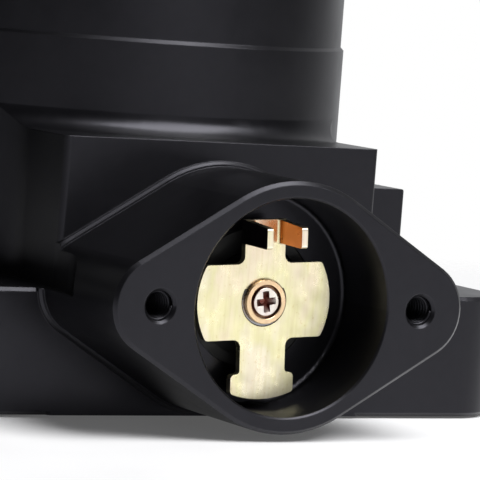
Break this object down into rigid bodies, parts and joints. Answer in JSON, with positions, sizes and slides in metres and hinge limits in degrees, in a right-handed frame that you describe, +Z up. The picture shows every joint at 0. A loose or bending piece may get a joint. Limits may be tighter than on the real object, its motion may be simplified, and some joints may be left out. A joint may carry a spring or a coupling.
{
  "type": "throttle body",
  "caption": "Billet throttle body with round inlet tube, square flange, cross shaft with throttle plate, cable quadrant, and an open sensor boss showing the sensor lever.",
  "frame": {"origin": "bore axis on the flange mounting face", "axes": "+Z up the air bore towards the inlet, shaft along Y, sensor boss towards -Y"},
  "size_m": [0.1019, 0.136, 0.0843],
  "materials": {
    "black_anodised": "satin black anodised billet",
    "bearing_steel": "ground bearing steel",
    "seal_rubber": "black nitrile",
    "spring_steel": "oiled spring steel",
    "gasket_fibre": "grey-brown fibre sheet",
    "dark_steel": "black oxide steel",
    "bush_plastic": "natural nylon",
    "shaft_steel": "ground stainless shaft",
    "plate_brass": "rolled brass plate",
    "zinc_steel": "clear zinc plated steel",
    "yellow_zinc": "yellow iridescent zinc plate",
    "tan_zinc": "tan zinc plate",
    "pale_zinc": "pale pinkish zinc plate"
  },
  "bodies": {
    "body": {"throttle_housing": "black_anodised", "tps_side_bearing": "bearing_steel", "cable_side_bearing": "bearing_steel", "tps_side_shaft_seal": "seal_rubber", "cable_side_shaft_seal": "seal_rubber", "bearing_retaining_ring": "spring_steel", "flange_oring": "seal_rubber", "idle_air_gasket": "gasket_fibre", "idle_air_cover": "black_anodised", "idle_air_cover_screws": "dark_steel", "vacuum_nipple": "dark_steel", "idle_stop_screw": "dark_steel", "idle_stop_locknut": "zinc_steel", "full_open_stop_pin": "bearing_steel", "spring_bush": "bush_plastic", "return_spring": "spring_steel"},
    "shaft_assembly": {"throttle_shaft": "shaft_steel", "throttle_plate": "plate_brass", "throttle_plate_screws": "zinc_steel", "tps_lever": "yellow_zinc", "lever_cup_washer": "tan_zinc", "lever_screw": "pale_zinc", "stop_lever": "zinc_steel", "cable_quadrant": "black_anodised", "quadrant_washer": "zinc_steel", "quadrant_nut": "zinc_steel"}
  },
  "joints": [
    {"name": "throttle_turn", "type": "hinge", "parent": "body", "child": "shaft_assembly", "pos_m": [0, 0, 0.0178], "axis": [0, -1, 0], "range_deg": [0, 84], "stiffness_Nm_per_rad": 0.35, "springref_deg": -25.21}
  ]
}
